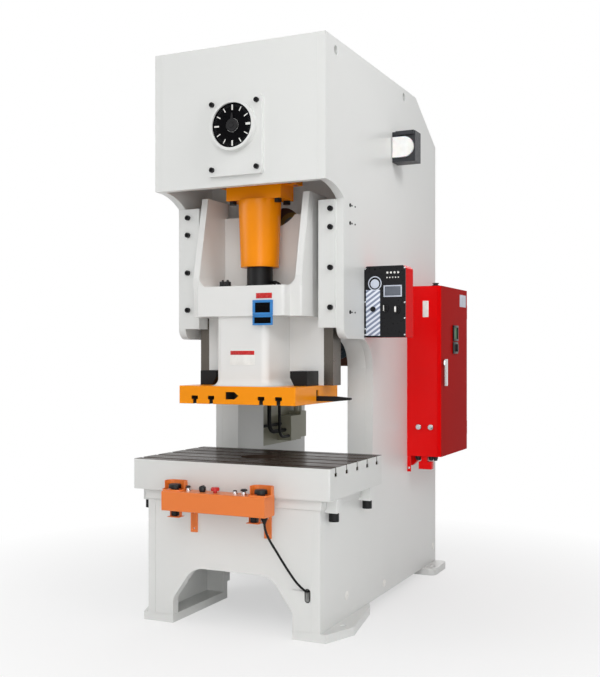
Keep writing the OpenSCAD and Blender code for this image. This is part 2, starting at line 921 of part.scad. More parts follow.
// Air service unit on the inside of the left side plate: board, regulators, valve box, manifold
module air_unit() {
    x = -inner_x + air_t;
    color("#7c7c6c") place() {
        block([-inner_x, air_y, air_z], [x, air_y + air_l, manifold_z + 40]);
        block([x, valve_y + 160, air_z + 30], [x + 80, valve_y + 240, air_z + 190]);
        block([x, valve_y, air_z + 20], [x + 90, valve_y + 140, air_z + 170]);
        block([x, air_y + 10, manifold_z], [x + 90, valve_y - 10, manifold_z + 40]);
        for (y = [valve_y + 180, valve_y + 220])
            bar_z([x + 40, y, air_z + 189], 17, 70);
    }
}

// Quarter bend of a hose from downwards to backwards
module bend(r, hose) {
    rotate([90, 0, 90]) rotate([0, 0, 180]) rotate_extrude(angle = 90) translate([r, 0]) circle(hose);
}

module air_hoses() {
    bend_r = 60;
    color("#17171a") place() for (i = [0:2]) {
        hose = 9 + 3 * (i % 2);
        x = -inner_x + 28 + 28 * i;
        y = air_y + 40 + 80 * i;
        z = air_z + 180 - 36 * i;
        translate([x, y, z]) cylinder(r = hose, h = manifold_z - z);
        translate([x, y + bend_r, z]) bend(bend_r, hose);
        bar_y([x, y + bend_r, z - bend_r], hose, valve_y - y - bend_r);
    }
}

module crankshaft() {
    color("#5f6064") place() {
        bar_y([0, head_y - 50, crank_z], 30, 52);
        bar_y([0, head_y + 1, crank_z], journal_r, ram_y - web_out - head_y - 1);
        bar_y([0, ram_y + web_out, crank_z], journal_r, gear_y + gear_t + 40 - ram_y - web_out);
        bar_y([0, ram_y - web_in - 1, pin_z], journal_r, 2 * web_in + 2);
        for (y = [ram_y - web_out, ram_y + web_in])
            along_y(y, web_t) {
                translate([0, crank_z]) circle(journal_r + 20);
                translate([0, pin_z]) circle(journal_r + 20);
                translate([-journal_r - 20, pin_z]) square([2 * journal_r + 40, stroke / 2]);
            }
    }
    color("#ecebe6") place() block([-3, head_y - 52, crank_z + 8], [3, head_y - 50, crank_z + 28]);
}

// Half the angle of a gear tooth at radius r
function involute(a) = tan(a) * 180 / PI - a;
function half_tooth(z, r) =
    90 / z - 0.6 / (gear_m * z) * 180 / PI + involute(20)
    - involute(acos(min(1, gear_m * z / 2 * cos(20) / r)));

// Involute gear outline with its first tooth towards +X
module gear_outline(z) {
    pitch = gear_m * z / 2;
    base = pitch * cos(20);
    root = pitch - 1.25 * gear_m;
    tip = pitch + 0.9 * gear_m;
    start = max(base, root);
    steps = 5;
    radii = concat([root], [for (i = [0:steps]) start + (tip - start) * i / steps]);
    polygon([for (k = [0:z - 1])
        for (side = [-1, 1])
            for (i = [0:steps + 1])
                let (r = radii[side < 0 ? i : steps + 1 - i])
                let (a = k * 360 / z + side * half_tooth(z, max(r, start)))
                r * [cos(a), sin(a)]]);
}

module main_gear() {
    color("#6b3526") place() along_y(gear_y, gear_t) translate([0, crank_z]) difference() {
        rotate(-90 + 180 / gear_z) gear_outline(gear_z);
        circle(journal_r + bearing_gap);
        for (a = [0:60:300])
            rotate(a) translate([gear_m * gear_z * 0.31, 0]) circle(52);
    }
}

module drive_shaft() {
    color("#77797d") place() {
        bar_y([0, bearing_y, shaft_z], shaft_r, wheel_y + flywheel_t + 130 - bearing_y);
        along_y(gear_y, gear_t) translate([0, shaft_z]) rotate(90) gear_outline(pinion_z);
        bar_y([0, wheel_y + flywheel_t + 6, shaft_z], 150, 100);
        bar_y([0, wheel_y + flywheel_t + 106, shaft_z], 90, 30);
    }
}

module flywheel() {
    color("#4a4c50") place() difference() {
        grooved(flywheel_r, shaft_z);
        bar_y([0, wheel_y - 1, shaft_z], shaft_r + bearing_gap, flywheel_t + 2);
        for (y = [wheel_y - 1, wheel_y + flywheel_t - 34])
            difference() {
                bar_y([0, y, shaft_z], flywheel_r - 60, 35);
                bar_y([0, y - 1, shaft_z], shaft_r + 60, 37);
            }
        for (a = [0:60:300])
            translate([0, wheel_y, shaft_z]) rotate([0, a, 0])
                bar_y([flywheel_r * 0.57, -1, 0], 44, flywheel_t + 2);
    }
}

module motor_pulley() {
    color("#4a4c50") place() {
        grooved(pulley_r, motor_z);
        bar_y([0, rear_y - 36, motor_z], 24, wheel_y - rear_y + 36);
    }
}

// Half of the rod's big end: the lower one is on the rod, the upper one is the cap
module strap_outline(low, high) {
    difference() {
        translate([-strap_w / 2, low]) square([strap_w, high - low]);
        soft_square([-slot_x, pin_z - slot_z], [slot_x, pin_z + slot_z], slot_z - 1);
    }
}

rod_bolt_y = flange_d / 2 - 24;
cap_bolt_x = strap_w / 2 - 23;

module connecting_rod() {
    color("#ec8c19") place() difference() {
        union() {
            translate([0, ram_y, rod_z]) cylinder(r1 = rod_r, r2 = rod_r + 12, h = rod_h + 1);
            block([-flange_w / 2, ram_y - flange_d / 2, flange_z],
                [flange_w / 2, ram_y + flange_d / 2, strap_z]);
            along_y(ram_y - strap_d / 2, strap_d) strap_outline(strap_z, pin_z);
        }
        bar_z([0, ram_y, rod_z - 1], screw_r + bearing_gap, rod_h - 50);
        for (x = [-1, 1])
            for (y = [-1, 1]) {
                bar_z([x * (flange_w / 2 - 26), ram_y + y * rod_bolt_y, flange_z - 1], 13, 60);
                bar_z([x * cap_bolt_x, ram_y + y * 36, strap_z - 1], 12, 800);
            }
    }
}

module rod_cap() {
    color("#ec8c19") place() difference() {
        along_y(ram_y - strap_d / 2, strap_d) strap_outline(pin_z, pin_z + slot_z + 60);
        for (x = [-1, 1])
            for (y = [-1, 1])
                bar_z([x * cap_bolt_x, ram_y + y * 36, pin_z - 1], 12, 200);
    }
}

module rod_bolts() {
    color("#242427") place() for (x = [-1, 1])
        for (y = [-1, 1]) {
            translate([x * (flange_w / 2 - 26), ram_y + y * rod_bolt_y, flange_z]) {
                translate([0, 0, -18]) cylinder(r = 20, h = 18, $fn = 6);
                cylinder(r = 12.9, h = 56);
            }
            bar_z([x * cap_bolt_x, ram_y + y * 36, strap_z], 11.9, pin_z + slot_z + 60 - strap_z);
            translate([x * cap_bolt_x, ram_y + y * 36, pin_z + slot_z + 60])
                cylinder(r = 19, h = 16, $fn = 6);
        }
}

module adjusting_screw() {
    color("#1c1c1e") place() {
        bar_z([0, ram_y, box_top - 118], screw_r, rod_z + 190 - box_top + 118);
        bar_z([0, ram_y, box_top], screw_r + 7, 16);
    }
}

// Plan of the slide's lower body, in (X, Y)
body_y = ram_y - 200;
body_r = 34;
flare_r = 36;
root_r = 55;
ear_out = rail_x - ear_inset;
module body_outline() {
    soft_square([-body_w / 2, body_y], [body_w / 2, rail_y + rail_d], body_r);
}

// Corner filled in by a hollow quarter round
module cove(r) {
    difference() {
        translate([-1, 0]) square([r + 1, r]);
        translate([r, r]) circle(r);
    }
}

// Hollow sweep from the slide's lower body out to its plate
module body_flare() {
    x = body_w / 2;
    along_x(body_r - x, 2 * (x - body_r)) translate([body_y, body_z]) mirror([1, 0]) cove(flare_r);
    both() along_y(body_y + body_r, rail_y - body_y - body_r + 1) translate([x, body_z]) cove(flare_r);
    both() translate([x - body_r, body_y + body_r, body_z]) rotate(-90) rotate_extrude(angle = 90)
        translate([body_r, 0]) cove(flare_r);
}

module slide() {
    ear_y = ram_y - 150;
    top_y = ear_y + 92;
    back = rail_y + rail_d;
    color("#e6e5e0") place() difference() {
        union() {
            translate([0, 0, body_z]) linear_extrude(body_h + 1) body_outline();
            body_flare();
            translate([0, 0, box_z]) linear_extrude(box_h)
                soft_square([-box_w / 2, ram_y - 220], [box_w / 2, back], 16);
            translate([0, 0, box_z]) linear_extrude(box_h)
                soft_square([-ear_out, ear_y], [ear_out, back], 12);
            block([-rail_x, rail_y, body_z], [rail_x, back, box_top]);
            block([-rail_x, ram_y + rod_r + 22, box_top - 1], [rail_x, back, box_top + 380]);
            both() along_x(ear_out - ear_t, ear_t)
                polygon([[back, box_top - 1], [ear_y + 4, box_top - 1], [ear_y + 4, box_top + 50],
                    [top_y, box_top + ear_h], [back, box_top + ear_h]]);
            both() along_y(ear_y + 6, rail_y - ear_y) translate([ear_out - ear_t, box_top]) mirror([1, 0])
                cove(root_r);
        }
        bar_z([0, ram_y, box_top - 120], screw_r + 0.3, 121);
        along_y(ram_y + 100, 200) translate([0, box_top + 495]) circle(180, $fn = 128);
        bar_z([0, ram_y, body_z - 1], shank_r + shank_relief, 60);
    }
}

bar_d = 26;
bar_h = 24;
bar_lift = 28;
bar_z0 = shoe_z + shoe_t - bar_h - bar_lift - 22;
shank_relief = 3;

module slide_plate() {
    front = ram_y - shoe_d / 2;
    reach = shoe_d / 2 - bar_d / 2 - 24;
    color("#f0951c") place() difference() {
        translate([0, 0, shoe_z]) linear_extrude(shoe_t)
            soft_square([-shoe_w / 2, front], [shoe_w / 2, front + shoe_d], 4);
        for (y = [front - 1, front + shoe_d - reach])
            along_y(y, reach + 1)
                for (x = [-shoe_slot_out, -shoe_slot_in, shoe_slot_in, shoe_slot_out])
                    translate([x, shoe_z]) mirror([0, 1]) slot_outline(slot_neck - 3);
        bar_z([0, ram_y, shoe_z - 1], shank_r, shoe_t + 2);
        bar_z([0, ram_y, bar_z0 - 1], shank_r + shank_relief, body_z - bar_z0 + 2);
        block([-shoe_w / 2 - 1, ram_y - bar_d / 2 - 1, bar_z0],
            [shoe_w / 2 + 1, ram_y + bar_d / 2 + 1, bar_z0 + bar_h + bar_lift + 1]);
        along_y(front - 1, 90) translate([-22, shoe_z + 46])
            polygon([[-34, 14], [14, 14], [38, -4], [14, -22], [-34, -22]]);
    }
}

module slide_rails() {
    color("#a9a8a4") place() both()
        block([rail_x, rail_y, body_z], [rail_x + rail_w, rail_y + rail_d, gib_top - 80]);
}

module stop_blocks() {
    color("#1f1f21") place() both() along_y(rail_y - 136, 136)
        polygon([[body_w / 2 + 87, body_z], [body_w / 2 + 158, body_z], [body_w / 2 + 158, body_z + 72],
            [body_w / 2 + 65, body_z + 72], [body_w / 2 + 65, body_z + 40]]);
}

module knockout_bar() {
    left = -shoe_w / 2 - 148;
    right = shoe_w / 2 + 176;
    color("#1f1f21") place() along_y(ram_y - bar_d / 2, bar_d) translate([0, bar_z0])
        polygon([[left, 8], [left + 80, 0], [right - 80, 0], [right, 8], [right, bar_h - 6],
            [right - 80, bar_h], [left + 80, bar_h], [left, bar_h - 6]]);
}

// The handle's axis on the door: along Y from the cabinet's front, and height
handle_y = 46;
handle_z = cab_z + cab_h * 0.55;
handle_r = 9;

module cabinet_door() {
    x = half_w + cab_d - door_t + door_gap;
    color("#b81517") place() difference() {
        block([x, cab_y, cab_z], [x + door_t - door_gap, cab_y + cab_w, cab_z + cab_h]);
        block([x - 1, cab_y + 12, cab_z + 12],
            [x + door_t - door_gap - 4, cab_y + cab_w - 12, cab_z + cab_h - 12]);
        bar_x([x - 1, cab_y + handle_y, handle_z], handle_r + bearing_gap, door_t + 2);
    }
    color("#b81517") place() for (z = hinge_heights) difference() {
        union() {
            block([x, cab_y + cab_w, z], [hinge_x, cab_y + cab_w + 3, z + hinge_h / 2]);
            bar_z([hinge_x, hinge_y, z], hinge_r, hinge_h / 2);
        }
        bar_z([hinge_x, hinge_y, z - 1], hinge_pin_r + bearing_gap, hinge_h / 2 + 2);
    }
}

module door_handle() {
    color("#c7c9cb") place() translate([half_w + cab_d, cab_y + handle_y, handle_z]) {
        bar_x([-door_t + 4, 0, 0], handle_r, door_t - 3);
        bar_x([0.4, 0, 0], 20, 10);
        translate([10, -11, -130]) cube([12, 22, 150]);
    }
}

side_plate_left();
side_plate_right();
head_front_plate();
head_top_plate();
rear_cover();
drive_walls();
head_apron();
columns();
base_front_plate();
base_plates();
foot_plates();
bed_plate();
bolster();
bolster_lugs();
frame_screws();
gibs();
guide_beds();
bearing_cover();
angle_dial();
bearings();
motor();
drive_belts();
side_lamp();
lamp_lens();
control_box();
control_panel();
cabinet();
electrical_gear();
cable_glands();
console();
console_brackets();
button_guards();
console_lamps();
console_cable();
air_unit();
air_hoses();
crankshaft();
main_gear();
drive_shaft();
flywheel();
motor_pulley();
connecting_rod();
rod_cap();
rod_bolts();
adjusting_screw();
slide();
slide_plate();
slide_rails();
stop_blocks();
knockout_bar();
cabinet_door();
door_handle();
palm_button_left();
palm_button_right();
emergency_stop();
console_selector();
panel_knob_left();
panel_knob_right();
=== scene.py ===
import math

import bmesh
import bpy
from mathutils import Matrix, Vector
from mathutils.geometry import interpolate_bezier


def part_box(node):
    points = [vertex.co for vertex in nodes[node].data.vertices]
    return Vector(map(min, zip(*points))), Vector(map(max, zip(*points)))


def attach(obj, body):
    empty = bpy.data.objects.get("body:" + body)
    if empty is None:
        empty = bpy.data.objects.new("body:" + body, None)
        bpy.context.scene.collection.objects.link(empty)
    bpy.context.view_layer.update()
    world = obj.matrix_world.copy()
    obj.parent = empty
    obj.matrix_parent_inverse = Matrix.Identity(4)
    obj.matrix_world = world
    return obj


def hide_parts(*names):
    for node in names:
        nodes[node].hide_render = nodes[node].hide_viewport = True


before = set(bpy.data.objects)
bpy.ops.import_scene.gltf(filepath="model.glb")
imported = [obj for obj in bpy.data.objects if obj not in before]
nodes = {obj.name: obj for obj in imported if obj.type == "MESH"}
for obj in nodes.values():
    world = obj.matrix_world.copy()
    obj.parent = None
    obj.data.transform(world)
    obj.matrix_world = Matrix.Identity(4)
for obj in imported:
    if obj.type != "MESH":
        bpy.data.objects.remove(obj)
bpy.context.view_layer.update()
scene = bpy.context.scene
scene.view_settings.view_transform = "Standard"

# Places

# Millimetres in a metre
MM = 1000
# The base's front face, in metres
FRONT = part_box("base_front_plate")[0].y


def at(x, y, z):
    """A point given in millimetres, with y counted from the base's front face."""
    return Vector((x / MM, y / MM + FRONT, z / MM))


def span(node):
    """A node's lowest and highest corner in the millimetres that at() takes, to a tenth."""
    corners = [corner - Vector((0, FRONT, 0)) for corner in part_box(node)]
    return [Vector([round(value * MM, 1) for value in corner]) for corner in corners]


def middle(node):
    low, high = span(node)
    return (low + high) / 2


# How far trim is let into the face that carries it
SEAT = 0.2
# Outer face of the right side plate
SIDE_X = span("side_plate_right")[1].x
# Angle dial: its face lies behind its rim
DIAL_RIM = 11
DIAL = (middle("angle_dial").x, span("angle_dial")[0].y + DIAL_RIM, middle("angle_dial").z)
# Slide: front faces of its box and its body, and the top of its box between the ears
SLIDE_BOX_Y = 80
SLIDE_BODY_Y = 100
SLIDE_TOP = 1640
SCREW_X, SCREW_Y = middle("adjusting_screw").xy
# Console: its row of buttons, its underside, its top and the top of its lamps
CONSOLE_Y = middle("console").y
CONSOLE_LOW = span("console")[0].z
CONSOLE_TOP = span("console")[1].z
CONSOLE_LAMP_TOP = span("console_lamps")[1].z
SELECTOR_X = middle("console_selector").x
# Control panel: its face lies behind its rim
PANEL_RIM = 10
PANEL_Y = span("control_panel")[0].y + PANEL_RIM
# Cabinet: its front, underside and top, and the outer face of its door
CABINET_Y = span("cabinet")[0].y
CABINET_LOW = span("cabinet_door")[0].z
CABINET_TOP = span("cabinet")[1].z
DOOR_X = span("cabinet_door")[1].x

# Camera, solved from the photograph's straight edges

camera = bpy.data.objects.new("camera", bpy.data.cameras.new("camera"))
scene.collection.objects.link(camera)
camera.location = (2.2503, -4.9150, 1.3217)
camera.rotation_euler = (math.radians(90), 0, math.radians(25.06))
camera.data.sensor_width = 36
camera.data.lens = 51.74
camera.data.shift_y = 0.02
scene.camera = camera


# Materials

def srgb(r, g, b):
    """A screen colour as a linear one."""
    line = [c / 255 / 12.92 if c < 11 else ((c / 255 + 0.055) / 1.055) ** 2.4 for c in (r, g, b)]
    return (*line, 1.0)


def shade(colour, factor):
    return (*(min(1.0, c * factor) for c in colour[:3]), 1.0)


class Shader:
    """A material with one Principled shader, and short calls for the nodes that feed it."""

    def __init__(self, name):
        self.material = bpy.data.materials.new(name)
        self.material.use_nodes = True
        self.tree = self.material.node_tree
        self.bsdf = self.tree.nodes["Principled BSDF"]
        self.coord = self.node("ShaderNodeTexCoord")

    def node(self, kind, **values):
        made = self.tree.nodes.new(kind)
        for key, value in values.items():
            setattr(made, key, value)
        return made

    def link(self, source, target):
        self.tree.links.new(source, target)

    def set(self, **values):
        for key, value in values.items():
            self.bsdf.inputs[key.replace("_", " ")].default_value = value

    def noise(self, scale, detail=3.0, stretch=(1, 1, 1), rough=0.55):
        mapping = self.node("ShaderNodeMapping")
        mapping.inputs["Scale"].default_value = stretch
        self.link(self.coord.outputs["Object"], mapping.inputs["Vector"])
        noise = self.node("ShaderNodeTexNoise")
        noise.inputs["Scale"].default_value = scale
        noise.inputs["Detail"].default_value = detail
        noise.inputs["Roughness"].default_value = rough
        self.link(mapping.outputs["Vector"], noise.inputs["Vector"])
        return noise.outputs["Fac"]

    def bands(self, scale, turn):
        """Straight bands along Z, turned about Y by an angle in degrees."""
        slope = self.node("ShaderNodeMapping")
        slope.inputs["Rotation"].default_value = (0, math.radians(turn), 0)
        self.link(self.coord.outputs["Object"], slope.inputs["Vector"])
        wave = self.node("ShaderNodeTexWave", wave_type="BANDS", bands_direction="Z")
        wave.inputs["Scale"].default_value = scale
        self.link(slope.outputs["Vector"], wave.inputs["Vector"])
        return wave.outputs["Fac"]

    def spread(self, source, low, high, start=0.3, end=0.7):
        ramp = self.node("ShaderNodeMapRange")
        keys = ("From Min", "From Max", "To Min", "To Max")
        for key, value in zip(keys, (start, end, low, high)):
            ramp.inputs[key].default_value = value
        self.link(source, ramp.inputs["Value"])
        return ramp.outputs["Result"]

    def math(self, operation, a, b):
        step = self.node("ShaderNodeMath", operation=operation)
        for i, value in enumerate((a, b)):
            if isinstance(value, (int, float)):
                step.inputs[i].default_value = value
            else:
                self.link(value, step.inputs[i])
        return step.outputs["Value"]

    def mix(self, factor, a, b):
        blend = self.node("ShaderNodeMix", data_type="RGBA")
        for socket, value in zip((0, 6, 7), (factor, a, b)):
            if hasattr(value, "is_linked"):
                self.link(value, blend.inputs[socket])
            else:
                blend.inputs[socket].default_value = value
        return blend.outputs[2]

    def bump(self, source, strength, distance):
        bump = self.node("ShaderNodeBump")
        bump.inputs["Strength"].default_value = strength
        bump.inputs["Distance"].default_value = distance
        self.link(source, bump.inputs["Height"])
        self.link(bump.outputs["Normal"], self.bsdf.inputs["Normal"])

    def split(self, output):
        """The X, Y and Z parts of the coordinate node's output, Object or Normal."""
        parts = self.node("ShaderNodeSeparateXYZ")
        self.link(self.coord.outputs[output], parts.inputs["Vector"])
        return parts.outputs

    def edges(self, radius):
        """1 along outer edges and 0 on flat faces."""
        rounded = self.node("ShaderNodeBevel", samples=4)
        rounded.inputs["Radius"].default_value = radius
        flat = self.node("ShaderNodeNewGeometry")
        dot = self.node("ShaderNodeVectorMath", operation="DOT_PRODUCT")
        self.link(rounded.outputs["Normal"], dot.inputs[0])
        self.link(flat.outputs["Normal"], dot.inputs[1])
        return self.spread(dot.outputs["Value"], 1.0, 0.0, 0.72, 0.97)

    def colour(self, socket):
        self.link(socket, self.bsdf.inputs["Base Color"])

    def gloss(self, socket):
        self.link(socket, self.bsdf.inputs["Roughness"])


# Width of the rubbed edges on paint, and height up to which paint darkens in patches towards the floor, in
# metres
RUB = 0.003
LOW_DARK_TOP = 0.22
# Scales of the slow drift in a paint's tone and of the patches in its rubbed edges
DRIFT = 1.7
PATCH = 38


def enamel(name, colour, rough, worn, grime, peel=0.05, spec=0.45, shaded_side=None):
    """Sprayed machine paint: faint tone drift, orange peel, rubbed edges and a patchy darkening towards
    the floor.

    The faces that look along +X take the last colour, where it is given: painted shade on that side.
    """
    shader = Shader(name)
    drift = shader.spread(shader.noise(DRIFT, 4), 0.0, 1.0)
    tone = shader.mix(drift, colour, shade(colour, grime))
    # Painted shade: faces that look along +X take the darker side colour
    if shaded_side:
        shaded_faces = shader.math("GREATER_THAN", shader.split("Normal")["X"], 0.7)
        tone = shader.mix(shaded_faces, tone, shader.mix(drift, shaded_side, shade(shaded_side, grime)))
    patches = shader.spread(shader.noise(PATCH, 5), 0.0, 0.4, 0.52, 0.74)
    rub = shader.math("MULTIPLY", shader.edges(RUB), patches)
    tone = shader.mix(rub, tone, worn)
    # Darker in patches towards the floor, below the low band's top
    near_floor = shader.spread(shader.split("Object")["Z"], 0.34, 0.0, 0.0, LOW_DARK_TOP)
    low_darkening = shader.math("MULTIPLY", near_floor, shader.noise(9, 5))
    shader.colour(shader.mix(low_darkening, tone, shade(colour, 0.72)))
    shader.gloss(shader.spread(shader.noise(3.5, 2), rough - 0.02, rough + 0.03))
    shader.set(Specular_IOR_Level=spec)
    shader.bump(shader.noise(620, 2), peel, 0.0006)
    return shader.material


def steel(name, colour, rough, along, metal=0.85, dark=0.72, spec=0.5):
    """Ground steel: fine parallel grinding marks, with cloudy oil and rub marks."""
    shader = Shader(name)
    lines = shader.noise(3.0, 5, along, 0.7)
    cloud = shader.noise(6.5, 5)
    ground = shader.mix(shader.spread(lines, 0.0, 1.0), colour, shade(colour, dark))
    shader.colour(shader.mix(shader.spread(cloud, 0.0, 1.0), ground, shade(colour, dark)))
    oily = shader.spread(cloud, rough - 0.07, rough + 0.06)
    shader.gloss(shader.math("ADD", oily, shader.spread(lines, 0.0, 0.1)))
    shader.set(Metallic=metal, Specular_IOR_Level=spec)
    shader.bump(lines, 0.12, 0.0004)
    return shader.material


def plastic(name, colour, rough, grain=900, depth=0.08, spec=0.5):
    """Moulded plastic: a fine grain and a faint unevenness in tone and gloss."""
    shader = Shader(name)
    uneven = shader.spread(shader.noise(24, 4), 0.0, 1.0)
    shader.colour(shader.mix(uneven, colour, shade(colour, 0.86)))
    shader.gloss(shader.spread(shader.noise(70, 4), rough - 0.05, rough + 0.08))
    shader.set(Specular_IOR_Level=spec)
    shader.bump(shader.noise(grain, 2), depth, 0.0004)
    return shader.material


WHITE = srgb(221, 222, 220)
SIGNAL_RED = srgb(226, 12, 14)
frame_paint = enamel("frame_paint", WHITE, 0.33, srgb(204, 203, 199), 0.98)
slide_paint = enamel("slide_paint", srgb(224, 224, 222), 0.22, srgb(206, 205, 201), 0.985)
orange_paint = enamel("orange_paint", srgb(246, 144, 2), 0.24, srgb(208, 112, 8), 0.97, spec=0.22)
console_paint = enamel("console_paint", srgb(230, 122, 50), 0.3, srgb(186, 92, 36), 0.95)
red_paint = enamel("red_paint", SIGNAL_RED, 0.2, srgb(160, 18, 18), 0.96, 0.03, 0.12)
box_paint = enamel("box_paint", SIGNAL_RED, 0.2, srgb(160, 18, 18), 0.96, 0.03, 0.008)
# The door's outer face, which looks along +X, takes a darker red than the rest of the door: painted shade
door_paint = enamel("door_paint", SIGNAL_RED, 0.16, srgb(128, 16, 16), 0.94, 0.03, 0.003,
    srgb(180, 16, 14))
primer = enamel("primer", srgb(120, 78, 62), 0.55, srgb(92, 62, 50), 0.8)
motor_paint = enamel("motor_paint", srgb(86, 104, 116), 0.38, srgb(120, 124, 124), 0.88)
board_paint = enamel("board_paint", srgb(168, 166, 146), 0.42, srgb(178, 176, 162), 0.9)
grey_paint = enamel("grey_paint", srgb(176, 180, 182), 0.42, srgb(150, 150, 148), 0.9)
bare_steel = steel("bare_steel", srgb(106, 100, 93), 0.28, (260, 260, 1.5))
gear_steel = steel("gear_steel", srgb(122, 120, 118), 0.42, (40, 40, 40))
bronze = steel("bronze", srgb(176, 138, 78), 0.36, (30, 200, 30))
chrome = steel("chrome", srgb(214, 216, 218), 0.14, (200, 3, 200), 1.0, 0.9)
black_oxide = steel("black_oxide", srgb(18, 18, 20), 0.38, (120, 120, 120), 0.1, 0.7, 0.25)
black_plastic = plastic("black_plastic", srgb(17, 17, 19), 0.34, spec=0.3)
panel_black = plastic("panel_black", srgb(20, 20, 23), 0.3, 1400, 0.1, 0.22)
device_plastic = plastic("device_plastic", srgb(42, 44, 48), 0.4, spec=0.35)
red_plastic = plastic("red_plastic", srgb(196, 22, 20), 0.24)
pale_plastic = plastic("pale_plastic", srgb(240, 239, 235), 0.3)
blue_plastic = plastic("blue_plastic", srgb(44, 128, 198), 0.34)
field_plastic = plastic("field_plastic", srgb(206, 212, 226), 0.32)
green_plastic = plastic("green_plastic", srgb(52, 112, 62), 0.4)
rubber = plastic("rubber", srgb(15, 15, 16), 0.55, 500, 0.2, 0.25)
belt_rubber = plastic("belt_rubber", srgb(40, 40, 42), 0.62, 320, 0.3, 0.3)
dial_black = plastic("dial_black", srgb(7, 7, 9), 0.28, 1600, 0.04, 0.04)


def mask_inside(shader, low, high):
    """1 inside a box that is given in millimetres, and 0 outside it."""
    low, high = at(*low), at(*high)
    axes = shader.split("Object")
    factor = None
    for key, a, b in zip("XYZ", low, high):
        above = shader.math("GREATER_THAN", axes[key], a)
        below = shader.math("LESS_THAN", axes[key], b)
        for test in (above, below):
            factor = test if factor is None else shader.math("MULTIPLY", factor, test)
    return factor


# Roughness of the paint beside worked steel
COAT_ROUGH = 0.3


def two_finish(name, paint, core, face, metal_colour, rough, spec, metal):
    """Paint on a block's sides, and worked steel on one face and in the slots of its core."""
    shader = Shader(name)
    inside = shader.math("MAXIMUM", mask_inside(shader, *core), mask_inside(shader, *face))
    lines = shader.noise(3.0, 5, (1.2, 190, 1.2), 0.72)
    cloud = shader.noise(4.5, 6)
    worked = shader.mix(shader.spread(lines, 0.0, 1.0), metal_colour, shade(metal_colour, 0.76))
    worked = shader.mix(shader.spread(cloud, 0.0, 0.8), worked, shade(metal_colour, 0.66))
    coat = shader.mix(shader.spread(shader.noise(DRIFT, 4), 0.0, 1.0), paint, shade(paint, 0.95))
    patches = shader.spread(shader.noise(PATCH, 5), 0.0, 0.6, 0.46, 0.72)
    rub = shader.math("MULTIPLY", shader.edges(RUB), patches)
    coat = shader.mix(rub, coat, shade(paint, 0.8))
    shader.colour(shader.mix(inside, coat, worked))
    oily = shader.spread(cloud, rough - 0.06, rough + 0.1)
    worn = shader.math("ADD", oily, shader.spread(lines, 0.0, 0.06))
    change = shader.math("MULTIPLY", inside, shader.math("SUBTRACT", worn, COAT_ROUGH))
    shader.gloss(shader.math("ADD", change, COAT_ROUGH))
    shader.link(shader.math("MULTIPLY", inside, metal), shader.bsdf.inputs["Metallic"])
    shader.set(Specular_IOR_Level=spec)
    shader.bump(lines, 0.05, 0.0003)
    return shader.material


# Width of the painted rim round worked steel, and how far its zones run out past the block, in millimetres
RIM = 6
RUN_OUT = 100


def worked_zones(node, layer, top):
    """The core inside a block's painted rim, and the layer at its top or bottom face."""
    low, high = span(node)
    rim = Vector((RIM, RIM, RIM))
    out = Vector((RUN_OUT, RUN_OUT, RUN_OUT))
    core = [low + rim, high - rim]
    face = [low - out, high + out]
    if top:
        core[1].z = face[1].z
        face[0].z = high.z - layer
    else:
        core[0].z = face[0].z
        face[1].z = low.z + layer
    return core, face


def banded(name, rough, bands, first, second, share, start=0.3, end=0.7):
    """Two colours in straight bands, from the bands' scale and turn."""
    shader = Shader(name)
    shader.set(Roughness=rough)
    factor = shader.spread(shader.bands(*bands), 0.0, share, start, end)
    shader.colour(shader.mix(factor, first, second))
    return shader.material


bolster_finish = two_finish("bolster_finish", WHITE, *worked_zones("bolster", 0.7, True),
    srgb(74, 61, 53), 0.2, 0.018, 0.02)
plate_finish = two_finish("plate_finish", srgb(246, 148, 4), *worked_zones("slide_plate", 0.6, False),
    srgb(86, 80, 74), 0.4, 0.22, 0.5)
striped_field = banded("striped_field", 0.3, (15, 35), srgb(226, 230, 240), srgb(128, 138, 164), 1.0,
    0.42, 0.58)
screen_face = banded("screen_face", 0.16, (95, 0), srgb(92, 98, 108), srgb(112, 118, 128), 0.35)

lens = Shader("lamp_lens_finish")
lens.set(Roughness=0.22, Subsurface_Weight=0.25, Subsurface_Scale=0.01)
lens_drift = lens.spread(lens.noise(30), 0.0, 1.0)
lens.colour(lens.mix(lens_drift, srgb(246, 246, 243), srgb(236, 236, 232)))
lens.bump(lens.noise(90, 2, (1, 1, 40)), 0.1, 0.0008)

FINISH = {
    frame_paint: ("side_plate_left side_plate_right head_front_plate head_top_plate rear_cover columns"
        " base_front_plate base_plates foot_plates bed_plate bolster_lugs gibs guide_beds bearing_cover"
        " angle_dial head_apron"),
    primer: "drive_walls",
    slide_paint: "slide",
    bolster_finish: "bolster",
    plate_finish: "slide_plate",
    bare_steel: "slide_rails",
    black_oxide: "frame_screws rod_bolts stop_blocks knockout_bar adjusting_screw",
    orange_paint: "connecting_rod rod_cap",
    bronze: "bearings",
    gear_steel: "crankshaft main_gear drive_shaft flywheel motor_pulley",
    motor_paint: "motor",
    belt_rubber: "drive_belts",
    device_plastic: "side_lamp",
    lens.material: "lamp_lens",
    red_paint: "cabinet",
    box_paint: "control_box",
    door_paint: "cabinet_door",
    panel_black: "control_panel",
    grey_paint: "electrical_gear",
    black_plastic: ("cable_glands palm_button_left palm_button_right console_selector panel_knob_left"
        " panel_knob_right"),
    console_paint: "console console_brackets button_guards",
    chrome: "console_lamps door_handle",
    red_plastic: "emergency_stop",
    board_paint: "air_unit",
    rubber: "air_hoses",
}
for material, names in FINISH.items():
    for name in names.split():
        for slot in nodes[name].material_slots:
            slot.link = "OBJECT"
            slot.material = material

